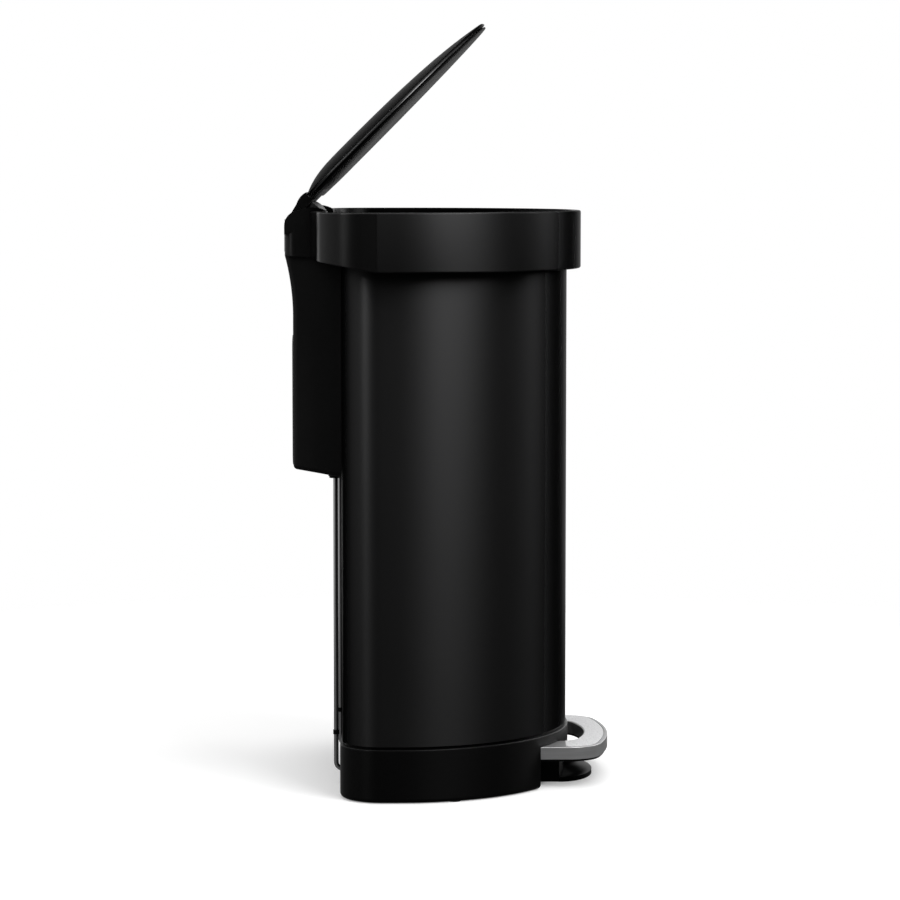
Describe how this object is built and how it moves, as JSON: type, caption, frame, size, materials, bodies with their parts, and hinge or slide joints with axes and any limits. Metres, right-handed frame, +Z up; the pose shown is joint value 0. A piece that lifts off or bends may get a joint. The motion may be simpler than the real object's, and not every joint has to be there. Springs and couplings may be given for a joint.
{
  "type": "pedal trash can",
  "caption": "Half-round pedal bin: steel body with a flat back, hinged domed lid raised by a pedal, two lift rods and cranks, plastic base, and a liner pocket behind.",
  "frame": {"origin": "floor level, at the middle of the whole footprint", "axes": "+Z up, front of the bin (pedal) towards -Y, +X to the right seen from the front's back"},
  "size_m": [0.416, 0.367, 0.862],
  "materials": {
    "body_steel": "satin black coated steel",
    "collar_steel": "satin black coated steel, fine brushing",
    "lid_steel": "satin black coated steel",
    "base_plastic": "moulded, fine grain",
    "foot_plastic": "moulded, smooth",
    "black_plastic": "moulded, smooth",
    "lid_plastic": "moulded, semi-gloss",
    "pocket_plastic": "moulded, fine grain",
    "grained_plastic": "moulded, coarse grain",
    "grey_plastic": "moulded",
    "nylon": "moulded",
    "rod_steel": "polished rod",
    "pedal_steel": "brushed",
    "grip_silver": "stippled",
    "rubber": "matte",
    "screw_steel": "zinc plated"
  },
  "bodies": {
    "can": {"body_shell": "body_steel", "bag_ring": "black_plastic", "base_pan": "base_plastic", "front_foot": "foot_plastic", "foot_screws": "screw_steel", "foot_pads": "rubber", "base_screws": "screw_steel", "collar_frame": "grained_plastic", "collar_band": "collar_steel", "hinge_cover": "grained_plastic", "hinge_pin": "rod_steel", "hinge_bushes": "nylon", "liner_pocket": "pocket_plastic", "pocket_panel": "pocket_plastic", "pocket_screws": "screw_steel", "rod_guides": "black_plastic", "pedal_axle": "rod_steel", "axle_clips": "screw_steel", "lid_bumpers": "rubber"},
    "pedal": {"pedal_cap": "pedal_steel", "pedal_grip": "grip_silver", "pedal_frame": "black_plastic", "pedal_bushes": "nylon"},
    "rods": {"lift_rod_left": "rod_steel", "lift_rod_right": "rod_steel", "rod_sleeves": "black_plastic"},
    "lift_arms": {"lift_arm_left": "screw_steel", "lift_arm_right": "screw_steel"},
    "lid": {"lid_shell": "lid_steel", "lid_inner": "lid_plastic", "lid_neck": "black_plastic", "neck_drum": "grey_plastic", "lid_screws": "screw_steel"}
  },
  "joints": [
    {"name": "lid_lift", "type": "hinge", "parent": "can", "child": "lift_arms", "pos_m": [0, 0.166, 0.634], "axis": [-1, 0, 0], "range_deg": [0, 47]},
    {"name": "lid_hinge", "type": "hinge", "parent": "lift_arms", "child": "lid", "pos_m": [0, 0.166, 0.634], "axis": [-1, 0, 0], "range_deg": [-45, 0]},
    {"name": "pedal_pivot", "type": "hinge", "parent": "can", "child": "pedal", "pos_m": [0, -0.0735, 0.03], "axis": [1, 0, 0], "range_deg": [0, 10.52]},
    {"name": "rod_slide", "type": "slide", "parent": "can", "child": "rods", "axis": [0, 0, 1], "range_m": [0, 0.03336]}
  ],
  "couplings": [
    {"joint": "pedal_pivot", "follows": "lid_lift", "ratio": 0.22339},
    {"joint": "rod_slide", "follows": "lid_lift", "m_per_rad": 0.040603}
  ]
}
